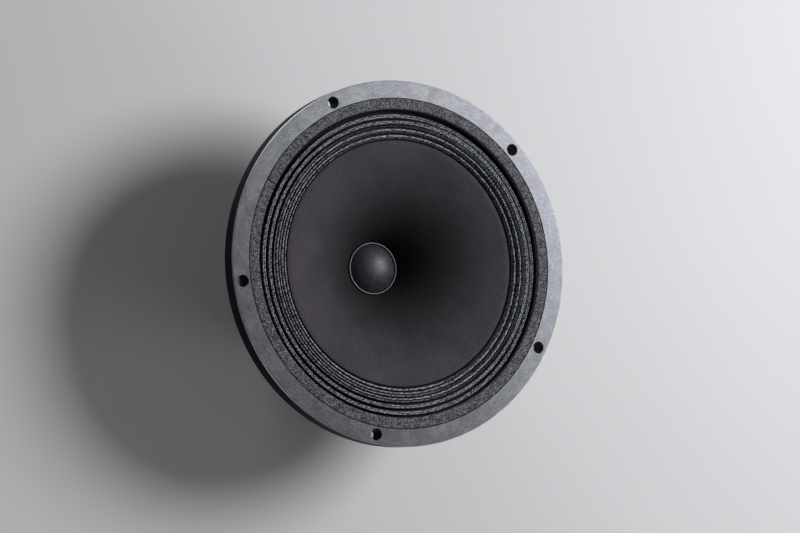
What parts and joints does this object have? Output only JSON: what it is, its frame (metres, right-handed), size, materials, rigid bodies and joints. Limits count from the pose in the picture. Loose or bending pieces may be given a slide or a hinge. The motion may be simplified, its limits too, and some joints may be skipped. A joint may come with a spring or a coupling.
{
  "type": "full-range speaker driver",
  "caption": "Round full-range speaker driver: metal flange with screw holes, felt ring, pleated cloth surround, curved paper cone, domed cap, open cast frame and flat ring-magnet motor.",
  "frame": {"origin": "centre of the flange's rear seating face, on the driver's axis", "axes": "+Z along the driver's axis towards the listener, out of the cone; +Y towards one of the screw holes; the terminals face -Y"},
  "size_m": [0.208, 0.208, 0.0952],
  "materials": {
    "frame_metal": "cast, painted satin black, with a bare machined front face",
    "grey_felt": "dense grey felt",
    "treated_cloth": "treated black cloth",
    "cone_paper": "charcoal paper with a fine woven emboss",
    "ring_metal": "satin",
    "cap_finish": "satin dark grey",
    "tube_film": "amber film",
    "collar_paper": "brown kraft paper",
    "copper": "bare copper",
    "spider_cloth": "resin-treated woven cloth",
    "fibre_ring": "pressed fibre",
    "plated_steel": "zinc plated",
    "pole_steel": "turned",
    "ferrite": "matt ground ferrite",
    "screen_mesh": "fine dark mesh",
    "black_steel": "black oxide",
    "board_laminate": "brown laminate",
    "tag_brass": "bare brass",
    "tag_tin": "tinned",
    "lead_braid": "braided copper tinsel",
    "solder": "smooth solder"
  },
  "bodies": {
    "chassis": {"frame": "frame_metal", "gasket": "grey_felt", "surround": "treated_cloth", "spider": "spider_cloth", "spider_ring": "fibre_ring", "top_plate": "plated_steel", "magnet": "ferrite", "back_plate": "plated_steel", "pole_piece": "pole_steel", "copper_cap": "copper", "vent_screen": "screen_mesh", "motor_screws": "black_steel", "terminal_board": "board_laminate", "terminal_positive": "tag_brass", "terminal_negative": "tag_tin", "tag_rivets": "tag_brass", "board_rivets": "tag_tin", "lead_positive": "lead_braid", "lead_negative": "lead_braid"},
    "moving_cone": {"cone": "cone_paper", "cap_ring": "ring_metal", "dust_cap": "cap_finish", "coil_tube": "tube_film", "coil_collar": "collar_paper", "voice_coil": "copper", "lead_pads": "solder"}
  },
  "joints": [
    {"name": "cone_travel", "type": "slide", "parent": "chassis", "child": "moving_cone", "axis": [0, 0, 1], "range_m": [-0.004, 0.004], "stiffness_N_per_m": 1500, "deforming": ["surround", "spider", "lead_positive", "lead_negative"]}
  ]
}
